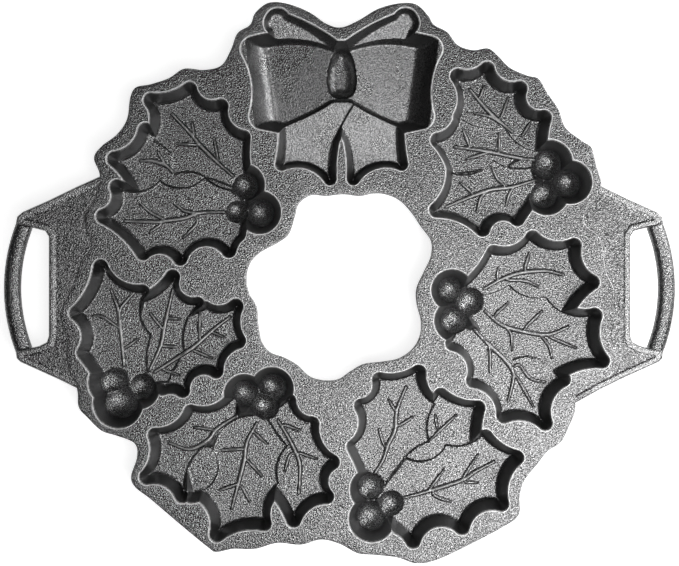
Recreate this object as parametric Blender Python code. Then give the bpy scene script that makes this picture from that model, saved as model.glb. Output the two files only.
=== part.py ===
"""Cast iron wreath pan, in metres, +Z up, with its origin on the table under the middle of the pan.

The real pan is one sand casting: a flat wavy ring with seven cups sunk into it and two loop handles
cast on its sides. Here the casting is divided where its forms meet. The flat ring is wreath_web, each
cup is a shell that hangs from the underside of the ring, and each handle meets the edge of the ring.

A cup is a union of pockets. Six cups hold three holly leaves and three berries, the seventh a bow.
A pocket's outline is a list of corners, in millimetres from the middle of the pan, as it shows at the
rim. Each corner has a third number, the bite of the edge that follows it: how far that edge is curved
into the pocket at its middle, or out of it where the number is negative.
"""

import math

import bmesh
import bpy
import numpy as np

MM = 0.001

# The whole casting
PAN_HEIGHT = 0.0280
SPLIT_GAP = 0.0003

# The flat ring
WEB_THICKNESS = 0.0040
WEB_EDGE_BREAK = 0.0006

# Cups
LEAF_DEPTH = 0.0168
LEAF_STEP = 0.0008
LEAF_TAPER = 0.0048
CUP_WALL = 0.0030
CUP_FLOOR = 0.0036
RIM_BREAK = 0.0005
FLOOR_FILLET = 0.0010
UNDER_FILLET = 0.0016
STRAIGHT_RADIUS = 0.2000

# Berries: round pits that go on below the leaves, and the bosses that the pan stands on
BERRY_PIT = 0.0058
SEAT_SHARE = 0.55

# Bow
BOW_AXIS_X = 0.0012
BACK_LOOP_DEPTH = 0.0150
FRONT_LOOP_DEPTH = 0.0174
LOOP_TAPER = 0.0080
LOOP_END_X = 0.0440
FRONT_KNOT_RISE = 0.0048
FRONT_END_RISE = 0.0
BACK_KNOT_RISE = 0.0010
BACK_END_RISE = 0.0095
TAIL_DEPTH = 0.0164
TAIL_TAPER = 0.0042
TAIL_END_Y = 0.0620
TAIL_KNOT_RISE = 0.0050
KNOT_PIT = 0.0050
KNOT_TAPER = 0.0014
BOW_LAP = 0.0004

# Handles
HANDLE_REACH = 0.2000
HANDLE_MIDDLE_Y = -0.0030
TAB_DROP = 0.0010
TAB_THICKNESS = 0.0036
TAB_EDGE = 0.0009
GRIP_DROP = 0.0010
GRIP_WIDTH = 0.0104
GRIP_THICKNESS = 0.0092
GRIP_LENGTH = 0.0800
GRIP_BOW = 0.0078

# Ring outline, clockwise from the dip above the bow
WEB_OUTLINE = (
    (1, 151.5), (11, 155.5), (23, 162.5), (36, 165.8), (45.5, 165), (52.5, 158.5), (56, 153),
    (64, 148.5), (70, 141), (79, 138), (88, 139), (94, 134.5), (101, 127.5), (111, 123),
    (118, 121), (123, 113), (130, 102.5), (134, 92), (144, 84), (149.5, 80), (152.5, 69),
    (155.5, 57), (151, 48), (145.5, 41.5), (146, 34.5), (154, 27), (156.5, 18), (158, 7),
    (163, -5), (160.5, -15), (158.5, -24), (160, -35), (165, -45), (165, -51), (159, -56.5),
    (146, -60.5), (140.5, -66), (139.5, -76), (135.5, -86), (131, -94.5), (123.5, -99.5),
    (117, -107.5), (109.5, -117), (106.8, -126), (106, -137.5), (96, -145), (72, -157.5),
    (56, -164.5), (45, -166), (34, -162.5), (20, -161), (10.5, -160), (0, -154.5), (-11, -152),
    (-23, -155), (-37, -154), (-50, -157.5), (-63, -157.5), (-73, -159.3), (-78, -156.5),
    (-95, -142.5), (-112, -128), (-121, -121), (-123.5, -114.5), (-120, -103), (-121.5, -95),
    (-132, -90.5), (-141, -87.5), (-149, -80), (-154.5, -73.5), (-155.5, -63), (-160, -52),
    (-162, -41), (-161.5, -34), (-165.5, -19), (-161, -8), (-156, 4), (-152.5, 14), (-147, 22),
    (-150, 31), (-151, 40), (-145.5, 49), (-142, 63), (-145.5, 74), (-141, 81), (-132, 88),
    (-126, 97), (-124, 110), (-120.5, 116), (-112, 117.8), (-101, 121.5), (-92, 127),
    (-80, 126.3), (-70, 129), (-64.5, 138), (-60.5, 148), (-53, 153), (-50, 160),
    (-42, 166), (-31, 165.5), (-18, 160.5), (-7.5, 153.5),
)

# Centre hole, clockwise from its upper left
HOLE_OUTLINE = (
    (-16.8, 52), (-8, 51.5), (2, 52.5), (12, 51.5), (20, 53), (28, 52.3), (36, 48.5), (43, 41),
    (48, 33.5), (54, 25), (54, 16), (50, 7), (45.5, -3), (45.5, -12), (48, -22), (47.5, -31),
    (43, -39), (35, -44.5), (25, -46.5), (14, -48), (6, -52.5), (-1, -57), (-10, -57.5),
    (-18, -55), (-25, -48.5), (-33, -44), (-41, -41), (-46, -34.5), (-48, -24), (-49, -14),
    (-53.5, -6), (-55, 3), (-53, 11.5), (-47, 18), (-37, 23.5), (-30, 29), (-26.5, 39),
    (-24, 47),
)

# Each cup: leaves as (level, corners), then berries as (x, y, radius). A higher level is deeper.
HOLLY_CUPS = {
    "holly_cup_upper_left": (
        (
            (1, ((-115.7, 111.2, 1.8), (-88.5, 119.5, 4.7), (-67.2, 108.3, 4.7), (-52.6, 87.6, 0.6),
                 (-51.8, 60.9, 0), (-82.5, 59.2, 1.8), (-103.8, 60.9, 3.0), (-116.9, 83.4, 3.5))),
            (0, ((-115.7, 95.3, 0), (-60.0, 66.9, 0), (-60.0, 46.2, 0), (-122.2, 50.9, 0.6),
                 (-138.2, 74.0, 3.0))),
            (2, ((-134.6, 60.9, 3.0), (-108.6, 66.9, 4.1), (-82.0, 68.6, 0), (-58.9, 58.0, 0),
                 (-55.3, 27.8, 0.6), (-63.0, 15.4, 8.9), (-94.4, 10.0, 5.3), (-118.6, 13.6, 1.8),
                 (-144.7, 38.5, 3.6))),
        ),
        ((-58.2, 57.9, 6.6), (-62.4, 42.8, 7.2), (-47.9, 42.8, 7.8)),
    ),
    "holly_cup_upper_right": (
        (
            (0, ((66.0, 125.4, 1.8), (87.9, 131.4, 4.7), (109.8, 118.9, 6.5), (125.7, 99.4, 0.6),
                 (123.4, 78.7, 0), (112.7, 69.8, 0), (67.2, 96.4, 3.0))),
            (1, ((53.5, 85.2, 2.7), (71.3, 104.7, 3.0), (101.5, 100.6, 1.8), (122.2, 84.6, 0),
                 (124.6, 65.7, 0), (66.6, 60.9, 0.6))),
            (2, ((64.8, 70.4, 3.6), (92.0, 79.9, 3.6), (118.6, 77.5, 0), (130.5, 49.1, 0),
                 (115.7, 45.0, 0), (108.0, 34.3, 5.9), (84.3, 27.2, 2.1), (53.0, 41.4, 1.8))),
        ),
        ((124.5, 71.2, 9.0), (136.6, 59.7, 8.4), (122.7, 53.1, 8.4)),
    ),
    "holly_cup_right": (
        (
            (0, ((68.3, -4.1, 1.2), (88.5, 21.9, 4.1), (113.9, 31.4, 3.6), (141.7, 26.0, 3.3),
                 (154.1, -0.6, 1.8), (128.7, -17.2, 0), (80.2, -17.2, 0))),
            (1, ((100.9, 4.1, 2.4), (126.3, -3.6, 3.8), (154.7, -16.0, 2.7), (159.5, -48.5, 1.8),
                 (128.1, -58.6, 4.7), (101.5, -52.1, 2.4), (76.0, -32.5, 0), (74.9, -7.1, 0))),
            (0, ((137.0, -56.2, 4.4), (124.0, -87.0, 3.0), (95.0, -82.8, 5.3), (75.4, -60.4, 5.3),
                 (62.4, -34.9, 0), (70.1, -23.1, 0), (115.7, -36.7, 0))),
        ),
        ((66.6, -4.2, 7.8), (78.7, -10.9, 8.4), (69.0, -22.3, 8.4)),
    ),
    "holly_cup_lower_right": (
        (
            (1, ((48.8, -48.5, 1.8), (21.0, -53.3, 4.1), (8.6, -71.0, 4.7), (3.8, -97.6, 0),
                 (12.1, -115.4, 0), (26.9, -122.5, 0), (39.9, -110.1, 1.2), (57.7, -99.4, 2.4),
                 (63.0, -72.2, 3.0))),
            (0, ((58.3, -62.1, 0), (21.0, -110.6, 0), (32.8, -133.1, 0), (83.1, -98.8, 0),
                 (85.8, -71.4, 1.2))),
            (2, ((86.7, -86.4, 1.2), (109.2, -101.8, 3.6), (99.7, -133.7, 5.9),
                 (74.3, -149.1, 8.3), (42.3, -157.4, 0.6), (31.1, -147.3, 0), (21.0, -128.4, 0),
                 (37.6, -100.6, 4.7), (64.8, -91.7, 3.0))),
        ),
        ((19.0, -122.4, 8.4), (31.1, -132.7, 8.4), (19.0, -139.9, 9.0)),
    ),
    "holly_cup_lower_left": (
        (
            (0, ((-57.7, -59.8, 4.7), (-90.2, -72.2, 3.8), (-113.3, -87.6, 3.0),
                 (-118.6, -117.2, 3.0), (-91.4, -130.2, 0), (-80.2, -122.5, 0), (-50.0, -84.0, 0))),
            (1, ((-53.0, -75.1, 2.4), (-80.8, -100.6, 5.3), (-87.3, -124.9, 3.6),
                 (-74.9, -153.3, 2.4), (-41.7, -146.1, 3.6), (-31.7, -121.9, 3.0),
                 (-26.3, -96.4, 0), (-34.0, -75.1, 0))),
            (0, ((-44.7, -122.5, 0.6), (-28.1, -145.0, 3.0), (-3.8, -129.0, 4.7),
                 (0.3, -105.3, 3.8), (-12.7, -80.5, 3.0), (-30.5, -65.1, 0), (-42.3, -81.1, 0))),
        ),
        ((-56.4, -66.3, 7.8), (-40.1, -62.7, 8.4), (-44.9, -74.2, 8.4)),
    ),
    "holly_cup_left": (
        (
            (2, ((-155.9, -43.2, 4.7), (-160.6, -17.2, 1.8), (-142.9, 14.2, 3.8),
                 (-112.7, -3.0, 3.6), (-106.2, -32.0, 3.0), (-110.9, -57.4, 0),
                 (-138.8, -66.3, 0))),
            (1, ((-98.5, 8.3, 5.3), (-79.6, -11.8, 3.8), (-87.9, -43.2, 1.8), (-103.3, -62.1, 0),
                 (-118.0, -60.4, 0), (-124.0, -39.6, 0), (-122.2, -8.9, 1.2))),
            (0, ((-81.4, -10.7, 2.4), (-58.3, -10.1, 1.8), (-55.3, -35.5, 3.6),
                 (-70.1, -55.6, 7.1), (-92.2, -68.2, 1.2), (-111.0, -64.5, 0),
                 (-98.0, -36.7, 0))),
        ),
        ((-135.4, -59.1, 9.0), (-119.1, -62.1, 8.1), (-131.2, -71.2, 10.3)),
    ),
}

# Left half of the bow, x from the bow's own axis. The right half is its mirror image, and a little
# shallower, since the left half laps over it.
BACK_LOOP = ((-45.5, 157.5, 0), (-36.0, 161.2, -2.3), (5.0, 138.0, 0), (5.0, 108.0, 0),
             (-43.0, 119.0, 0))
FRONT_LOOP = ((-57.6, 144.3, -5.0), (6.0, 138.0, 0), (6.0, 105.5, 0), (-30.0, 90.0, 0),
              (-51.8, 92.2, 1.2))
TAIL = ((-36.5, 101.0, 0), (-38.9, 68.0, 4.3), (-4.6, 58.2, 0), (0.3, 90.0, 0), (9.0, 119.0, 0),
        (-15.0, 121.0, 0))
KNOT_CENTRE = (0.0, 124.5)
KNOT_RADII = (8.3, 14.2)

# Right handle: the flat tab that carries the grip. The left handle is its mirror image. The tab starts
# inside the ring. Round each end of the grip a point is (share of the way from the ring's reach to the
# handle's, distance out past the grip's end).
TAB_ROOT_TOP = ((136.0, 66.0), (155.3, 57.4))
TAB_END_TOP = ((0.24, 12.3), (0.67, 5.2), (0.76, 2.4), (0.78, -1.0), (0.68, -3.0), (0.54, -4.0),
               (0.31, -6.2), (0.255, -9.5))
TAB_END_BOTTOM = ((0.255, -11.5), (0.285, -8.0), (0.41, -5.7), (0.545, -4.5), (0.68, -3.5),
                  (0.78, -1.8), (0.77, 1.6), (0.71, 3.9), (0.08, 14.4))
TAB_ROOT_BOTTOM = ((154.1, -63.3), (134.0, -74.5))

RING_REACH = max(x for x, y in WEB_OUTLINE if abs(y) * MM < GRIP_LENGTH / 2) * MM


def counter_clockwise(corners):
    """The corners in counter-clockwise order, each still followed by its own edge's bite."""
    ahead = corners[1:] + corners[:1]
    area = sum(a[0] * b[1] - b[0] * a[1] for a, b in zip(corners, ahead))
    if area > 0:
        return list(corners)
    bites = [corner[2] for corner in reversed(corners)]
    bites = bites[1:] + bites[:1]
    return [(x, y, bite) for (x, y, _), bite in zip(reversed(corners), bites)]


def unit(vector):
    return vector / np.linalg.norm(vector)


def outward(direction):
    """The right-hand normal, which points out of a counter-clockwise outline."""
    return np.array((direction[1], -direction[0]))


class Pocket:
    """An outline of sharp tips joined by arcs, which grows outwards with round corners.

    The corners are read at the rim, where the taper has rounded them. The sharp outline lies a taper
    further in, along each corner's bisector, and loop(out) gives the outline grown by out from there.
    """

    def __init__(self, corners, taper):
        corners = counter_clockwise(corners)
        rim = np.array([corner[:2] for corner in corners]) * MM
        bites = np.array([corner[2] for corner in corners]) * MM
        count = len(rim)
        sides = [unit(rim[(i + 1) % count] - rim[i]) for i in range(count)]
        bisectors = [unit(outward(sides[i - 1]) + outward(sides[i])) for i in range(count)]
        self.tips = [rim[i] - taper * bisectors[i] for i in range(count)]
        self.arcs = []
        for i in range(count):
            start, end = self.tips[i], self.tips[(i + 1) % count]
            normal = outward(unit(end - start))
            middle = (rim[i] + rim[(i + 1) % count]) / 2 - (bites[i] + taper) * outward(sides[i])
            bite = np.dot((start + end) / 2 - middle, normal)
            if abs(bite) < 0.05 * MM:
                bite = 0.05 * MM
            half = np.linalg.norm(end - start) / 2
            radius = (half**2 + bite**2) / (2 * abs(bite))
            turn = 1 if bite > 0 else -1
            centre = (start + end) / 2 + normal * turn * (radius - abs(bite))
            self.arcs.append((centre, radius, turn))

    def normal(self, arc, point):
        """The outward normal of an arc at a point on it."""
        centre, _, turn = self.arcs[arc]
        return unit(centre - point) * turn

    def corner(self, index, out):
        """Points round one tip when the outline has grown by out."""
        tip = self.tips[index]
        before = self.normal(index - 1, tip)
        after = self.normal(index, tip)
        turn = math.atan2(before[0] * after[1] - before[1] * after[0], np.dot(before, after))
        if turn < math.radians(12) or out <= 0:
            mitre = unit(before + after)
            return [tip + mitre * out / max(np.dot(mitre, before), 0.4)] * 3
        start = math.atan2(before[1], before[0])
        angles = start + turn * np.array((0, 0.5, 1))
        return [tip + out * np.array((math.cos(a), math.sin(a))) for a in angles]

    def loop(self, out):
        """The whole outline grown by out, always with the same number of points."""
        count = len(self.tips)
        corners = [self.corner(i, out) for i in range(count)]
        points = []
        for i in range(count):
            points += corners[i]
            centre, radius, _ = self.arcs[i]
            start = corners[i][-1] - centre
            end = corners[(i + 1) % count][0] - centre
            first = math.atan2(start[1], start[0])
            sweep = math.atan2(start[0] * end[1] - start[1] * end[0], np.dot(start, end))
            inner = 2 if radius < STRAIGHT_RADIUS else 0
            for step in range(1, inner + 1):
                share = step / (inner + 1)
                reach = np.linalg.norm(start) * (1 - share) + np.linalg.norm(end) * share
                angle = first + sweep * share
                points.append(centre + reach * np.array((math.cos(angle), math.sin(angle))))
        return np.array(points)


def ellipse(centre, radii, segments=18):
    """Points round an ellipse, counter-clockwise."""
    angles = np.arange(segments) * 2 * math.pi / segments
    return np.stack((centre[0] + radii[0] * np.cos(angles), centre[1] + radii[1] * np.sin(angles)), 1)


def smooth_loop(points, steps):
    """A closed curve through the points: each span is a cubic whose ends follow their neighbours."""
    points = np.array(points) * MM
    before, ahead, after = np.roll(points, 1, 0), np.roll(points, -1, 0), np.roll(points, -2, 0)
    spans = []
    for t in np.arange(steps) / steps:
        spans.append(0.5 * (2 * points + (ahead - before) * t
                            + (2 * before - 5 * points + 4 * ahead - after) * t**2
                            + (3 * points - before - 3 * ahead + after) * t**3))
    return np.stack(spans, 1).reshape(-1, 2)[::-1]


def grown(loop, out):
    """A smooth counter-clockwise loop moved outwards by a small distance."""
    along = np.roll(loop, -1, 0) - np.roll(loop, 1, 0)
    normals = np.stack((along[:, 1], -along[:, 0]), 1)
    return loop + out * normals / np.linalg.norm(normals, axis=1)[:, None]


def material(name, colour, roughness):
    made = bpy.data.materials.new(name)
    made.use_nodes = True
    shader = made.node_tree.nodes["Principled BSDF"]
    shader.inputs["Base Color"].default_value = (*colour, 1)
    shader.inputs["Roughness"].default_value = roughness
    shader.inputs["Metallic"].default_value = 0.6
    made.diffuse_color = (*colour, 1)
    return made


def lofted(name, rings):
    """A closed solid through (loop, z) rings from top to bottom, with flat ends. z may differ by point."""
    sections = []
    for loop, z in rings:
        heights = np.broadcast_to(z, len(loop))
        sections.append([(x, y, height) for (x, y), height in zip(loop, heights)])
    return skinned(name, sections)


def skinned(name, sections):
    """A closed solid through sections that all have the same number of points, with flat ends."""
    bm = bmesh.new()
    rows = [[bm.verts.new(point) for point in section] for section in sections]
    for upper, lower in zip(rows, rows[1:]):
        for i in range(len(upper)):
            j = (i + 1) % len(upper)
            bm.faces.new((upper[i], lower[i], lower[j], upper[j]))
    bm.faces.new(rows[0])
    bm.faces.new(reversed(rows[-1]))
    bmesh.ops.remove_doubles(bm, verts=bm.verts, dist=0.00001)
    bmesh.ops.triangulate(bm, faces=[face for face in bm.faces if len(face.verts) == 4])
    bmesh.ops.recalc_face_normals(bm, faces=bm.faces)
    mesh = bpy.data.meshes.new(name)
    bm.to_mesh(mesh)
    bm.free()
    made = bpy.data.objects.new(name, mesh)
    bpy.context.collection.objects.link(made)
    return made


def combined(target, others, operation):
    """Joins or cuts the target with the others, which are used up."""
    for other in others:
        step = target.modifiers.new(operation.title(), "BOOLEAN")
        step.operation = operation
        step.object = other
    bpy.context.view_layer.update()
    graph = bpy.context.evaluated_depsgraph_get()
    mesh = bpy.data.meshes.new_from_object(target.evaluated_get(graph))
    target.modifiers.clear()
    target.data = mesh
    for other in others:
        bpy.data.objects.remove(other)
    return target


def finished(made, look):
    """Gives a piece its material and shades its curved faces smooth."""
    made.data.materials.clear()
    made.data.materials.append(look)
    made.data.shade_smooth()
    made.data.set_sharp_from_angle(angle=math.radians(30))
    return made


def level_rise(loop):
    """The rise of a level floor, which is the same at every point."""
    return np.zeros(len(loop))


def taper_rings(pocket, depth, taper, rise=level_rise):
    """A pocket's cavity: a broken rim, a straight tapered wall, a small fillet and a flat floor.

    rise gives how far the floor stands above its deepest level at each point of a loop.
    """
    floor = PAN_HEIGHT - depth
    slope = taper / depth
    fillet = pocket.loop(slope * FLOOR_FILLET + FLOOR_FILLET / 2)
    foot = pocket.loop(0)
    return (
        (pocket.loop(taper + 2 * RIM_BREAK), PAN_HEIGHT + RIM_BREAK),
        (pocket.loop(taper - slope * RIM_BREAK), PAN_HEIGHT - RIM_BREAK),
        (fillet, floor + FLOOR_FILLET + rise(fillet)),
        (foot, floor + rise(foot)),
    )


def shell_rings(pocket, depth, taper, rise=level_rise):
    """The outside of the wall round the same pocket, from under the ring down to its own floor."""
    top = PAN_HEIGHT - WEB_THICKNESS - SPLIT_GAP
    bottom = PAN_HEIGHT - depth - CUP_FLOOR
    slope = taper / depth
    at_top = taper - slope * (PAN_HEIGHT - top) + CUP_WALL
    at_bottom = CUP_WALL - slope * (CUP_FLOOR - UNDER_FILLET)
    fillet = pocket.loop(at_bottom)
    foot = pocket.loop(at_bottom - UNDER_FILLET)
    return (
        (pocket.loop(at_top), top),
        (fillet, bottom + UNDER_FILLET + rise(fillet)),
        (foot, bottom + rise(foot)),
    )


def pit_rings(centre, radii, depth, taper, pit):
    """A round pit: a tapered wall down to a depth and half an egg below it."""
    floor = PAN_HEIGHT - depth
    slope = taper / depth
    rings = [
        (ellipse(centre, radii + taper + 2 * RIM_BREAK), PAN_HEIGHT + RIM_BREAK),
        (ellipse(centre, radii + taper - slope * RIM_BREAK), PAN_HEIGHT - RIM_BREAK),
    ]
    for angle in (0, 35, 65):
        turn = math.radians(angle)
        rings.append((ellipse(centre, radii * math.cos(turn)), floor - pit * math.sin(turn)))
    return rings


def boss_rings(centre, radii, depth, taper):
    """The outside of a pit: the wall goes on down to a flat round seat on the table."""
    top = PAN_HEIGHT - WEB_THICKNESS - SPLIT_GAP
    slope = taper / depth
    at_top = taper - slope * (PAN_HEIGHT - top) + CUP_WALL
    shoulder = PAN_HEIGHT - depth
    return (
        (ellipse(centre, radii + at_top), top),
        (ellipse(centre, radii + CUP_WALL), shoulder),
        (ellipse(centre, radii * 0.82 + CUP_WALL), shoulder * 0.4),
        (ellipse(centre, radii * SEAT_SHARE + CUP_WALL / 2), 0),
    )


def holly_solids(leaves, berries):
    """The cavity and the outer shell of one holly cup, each as one solid."""
    cavities, shells = [], []
    for level, corners in leaves:
        depth = LEAF_DEPTH + level * LEAF_STEP
        taper = LEAF_TAPER * depth / LEAF_DEPTH
        pocket = Pocket(corners, taper)
        cavities.append(lofted("leaf", taper_rings(pocket, depth, taper)))
        shells.append(lofted("leaf_shell", shell_rings(pocket, depth, taper)))
    for x, y, radius in berries:
        centre = np.array((x, y)) * MM
        radii = np.array((radius, radius)) * MM
        cavities.append(lofted("berry", pit_rings(centre, radii, LEAF_DEPTH, LEAF_TAPER, BERRY_PIT)))
        shells.append(lofted("berry_boss", boss_rings(centre, radii, LEAF_DEPTH, LEAF_TAPER)))
    return combined(cavities[0], cavities[1:], "UNION"), combined(shells[0], shells[1:], "UNION")


def loop_rise(side, at_knot, at_end):
    """The rise of a loop's floor, which runs straight from one height at the knot to one at its end."""
    return lambda loop: at_knot + (at_end - at_knot) * side * (BOW_AXIS_X - loop[:, 0]) / LOOP_END_X


def tail_rise(loop):
    """A tail's floor falls straight from the knot to the tail's tip."""
    return TAIL_KNOT_RISE * (loop[:, 1] - TAIL_END_Y) / (KNOT_CENTRE[1] * MM - TAIL_END_Y)


def bow_solids():
    """The cavity and the outer shell of the bow cup: two back loops, two front loops, two tails, a knot.

    Every floor is a tilted plane. The front loops are the deepest and swell away from the knot, and the
    back loops rise outwards to the rim.
    """
    cavities, shells = [], []
    for side in (1, -1):
        for corners, depth, taper, rise in (
            (BACK_LOOP, BACK_LOOP_DEPTH, LOOP_TAPER, loop_rise(side, BACK_KNOT_RISE, BACK_END_RISE)),
            (FRONT_LOOP, FRONT_LOOP_DEPTH, LOOP_TAPER, loop_rise(side, FRONT_KNOT_RISE, FRONT_END_RISE)),
            (TAIL, TAIL_DEPTH, TAIL_TAPER, tail_rise),
        ):
            placed = tuple((BOW_AXIS_X / MM + side * x, y, bite) for x, y, bite in corners)
            pocket = Pocket(placed, taper)
            depth += side * BOW_LAP / 2
            cavities.append(lofted("bow_part", taper_rings(pocket, depth, taper, rise)))
            shells.append(lofted("bow_part_shell", shell_rings(pocket, depth, taper, rise)))
    centre = np.array((BOW_AXIS_X / MM + KNOT_CENTRE[0], KNOT_CENTRE[1])) * MM
    radii = np.array(KNOT_RADII) * MM
    cavities.append(lofted("knot", pit_rings(centre, radii, FRONT_LOOP_DEPTH, KNOT_TAPER, KNOT_PIT)))
    shells.append(lofted("knot_boss", boss_rings(centre, radii, FRONT_LOOP_DEPTH, KNOT_TAPER)))
    return combined(cavities[0], cavities[1:], "UNION"), combined(shells[0], shells[1:], "UNION")


def grip(side):
    """The bar between the ends of a tab: a rounded section along an arc, closed by round ends."""
    half = GRIP_LENGTH / 2
    radius = (half**2 + GRIP_BOW**2) / (2 * GRIP_BOW)
    centre_x = HANDLE_REACH - GRIP_WIDTH / 2 - radius
    level = PAN_HEIGHT - TAB_DROP - GRIP_DROP - GRIP_THICKNESS / 2
    end = math.asin(half / radius)
    sections = []
    for share in (-1.0, -0.97, -0.9, -0.6, -0.3, 0.0, 0.3, 0.6, 0.9, 0.97, 1.0):
        angle = share * end
        size = 0.55 if abs(share) == 1 else 0.85 if abs(share) == 0.97 else 1.0
        section = []
        for step in range(14):
            turn = 2 * math.pi * step / 14
            flat = [math.copysign(abs(v) ** 0.8, v) for v in (math.cos(turn), math.sin(turn))]
            reach = radius + flat[0] * size * GRIP_WIDTH / 2
            section.append((
                side * (centre_x + reach * math.cos(angle)),
                HANDLE_MIDDLE_Y + reach * math.sin(angle),
                level + flat[1] * size * GRIP_THICKNESS / 2,
            ))
        sections.append(section)
    return skinned("grip", sections)


def tab_end(points, up):
    """Places round one end of the grip, from shares of the handle's length and distances past the end."""
    placed = np.array(points)
    x = RING_REACH + placed[:, 0] * (HANDLE_REACH - RING_REACH)
    y = HANDLE_MIDDLE_Y + up * (GRIP_LENGTH / 2 + placed[:, 1] * MM)
    return np.stack((x, y), 1)


def tab(side):
    """The flat plate that reaches from the ring to the ends of the grip."""
    outline = np.concatenate((
        np.array(TAB_ROOT_TOP) * MM, tab_end(TAB_END_TOP, 1),
        tab_end(TAB_END_BOTTOM, -1), np.array(TAB_ROOT_BOTTOM) * MM,
    ))
    outline = outline[::-side] * (side, 1)
    top = PAN_HEIGHT - TAB_DROP
    return lofted("tab", (
        (grown(outline, -TAB_EDGE * 0.6), top),
        (outline, top - TAB_EDGE),
        (outline, top - TAB_THICKNESS + TAB_EDGE),
        (grown(outline, -TAB_EDGE * 0.6), top - TAB_THICKNESS),
    ))


def copy_of(made):
    twin = bpy.data.objects.new(made.name + "_copy", made.data.copy())
    bpy.context.collection.objects.link(twin)
    return twin


for old in list(bpy.data.objects):
    bpy.data.objects.remove(old)

iron = material("seasoned_iron", (0.055, 0.055, 0.058), 0.5)

edge = smooth_loop(WEB_OUTLINE, 2)
hole = smooth_loop(HOLE_OUTLINE, 2)
web_bottom = PAN_HEIGHT - WEB_THICKNESS
web = lofted("wreath_web", (
    (grown(edge, -WEB_EDGE_BREAK), PAN_HEIGHT),
    (edge, PAN_HEIGHT - WEB_EDGE_BREAK),
    (edge, web_bottom),
))
hole_cutter = lofted("centre_hole", (
    (grown(hole, WEB_EDGE_BREAK * 2), PAN_HEIGHT + WEB_EDGE_BREAK),
    (hole, PAN_HEIGHT - WEB_EDGE_BREAK),
    (hole, web_bottom - WEB_EDGE_BREAK),
))

cutters = [hole_cutter]
for name, (leaves, berries) in HOLLY_CUPS.items():
    cavity, shell = holly_solids(leaves, berries)
    cutters.append(copy_of(cavity))
    shell.name = name
    finished(combined(shell, [cavity], "DIFFERENCE"), iron)

cavity, shell = bow_solids()
cutters.append(copy_of(cavity))
shell.name = "bow_cup"
finished(combined(shell, [cavity], "DIFFERENCE"), iron)

finished(combined(web, cutters, "DIFFERENCE"), iron)

for side, name in ((-1, "left_handle"), (1, "right_handle")):
    handle = combined(tab(side), [grip(side)], "UNION")
    clearance = lofted("ring_clearance", (
        (grown(edge, SPLIT_GAP), PAN_HEIGHT + WEB_THICKNESS),
        (grown(edge, SPLIT_GAP), 0),
    ))
    handle = finished(combined(handle, [clearance], "DIFFERENCE"), iron)
    handle.name = name
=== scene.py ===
"""Cast iron wreath pan, seen from above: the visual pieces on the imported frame.

Outlines are in millimetres from the middle of the pan, all other sizes in metres. Vein paths are read in
pixels of the photo, and on_floor() takes them to the cup floors. Heights count up from the table, depths
down from the top of the flat ring.
"""

import math
from collections import namedtuple

import bpy
import numpy as np
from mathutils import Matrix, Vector, geometry


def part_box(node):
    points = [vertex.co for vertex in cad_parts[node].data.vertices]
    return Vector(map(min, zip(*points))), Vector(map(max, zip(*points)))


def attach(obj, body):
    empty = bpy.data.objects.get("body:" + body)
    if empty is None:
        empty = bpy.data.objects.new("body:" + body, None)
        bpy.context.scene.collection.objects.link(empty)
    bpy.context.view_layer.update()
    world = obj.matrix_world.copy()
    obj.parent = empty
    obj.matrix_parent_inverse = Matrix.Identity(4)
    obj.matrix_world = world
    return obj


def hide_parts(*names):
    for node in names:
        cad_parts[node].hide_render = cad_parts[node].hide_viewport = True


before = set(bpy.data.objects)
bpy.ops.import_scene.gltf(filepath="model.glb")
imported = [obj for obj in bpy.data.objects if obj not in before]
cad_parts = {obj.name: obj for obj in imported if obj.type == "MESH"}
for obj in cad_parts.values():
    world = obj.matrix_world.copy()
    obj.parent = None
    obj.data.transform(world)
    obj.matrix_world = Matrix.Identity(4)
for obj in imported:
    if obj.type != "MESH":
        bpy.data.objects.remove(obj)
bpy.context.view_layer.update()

# Holly cups: six hollows that batter is poured into, each of three overlapping leaves and three berries.
# They are cast in one with the ring, in a sand mould. Their walls taper so that the cakes drop out, their
# floors lie in low steps where one leaf laps over the next, and the berries are the deepest places.
MM = 0.001
web_low, web_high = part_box("wreath_web")
TOP = web_high.z
WEB = web_high.z - web_low.z

PHOTO_MIDDLE = (339.5, 283.0)
PHOTO_SCALE = 0.0005917
CAMERA_RISE = 0.90

LEAF_DEPTH = 0.0168
LEAF_STEP = 0.0008
LEAF_TAPER = 0.0048
RIM_ROUND = 0.0016
FOOT_ROUND = 0.0011
PIT_DROP = 0.0052
OUTLINE_SPACING = 0.0012
STRAIGHT = 1e-5
FAR = 1e9
TINY = 1e-18


def on_floor(points, depth=LEAF_DEPTH):
    """Photo pixels to metres for points that lie at a depth below the ring: they look nearer the middle."""
    out = (np.array(points, float) - PHOTO_MIDDLE) * (1, -1) * PHOTO_SCALE
    return out * (CAMERA_RISE + depth) / CAMERA_RISE


def unit(vectors):
    """Each vector over its length."""
    return vectors / np.maximum(np.linalg.norm(vectors, axis=-1, keepdims=True), 1e-12)


def right_of(direction):
    """The right-hand normal, which points out of a counter-clockwise outline."""
    return np.stack((direction[..., 1], -direction[..., 0]), -1)


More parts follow.
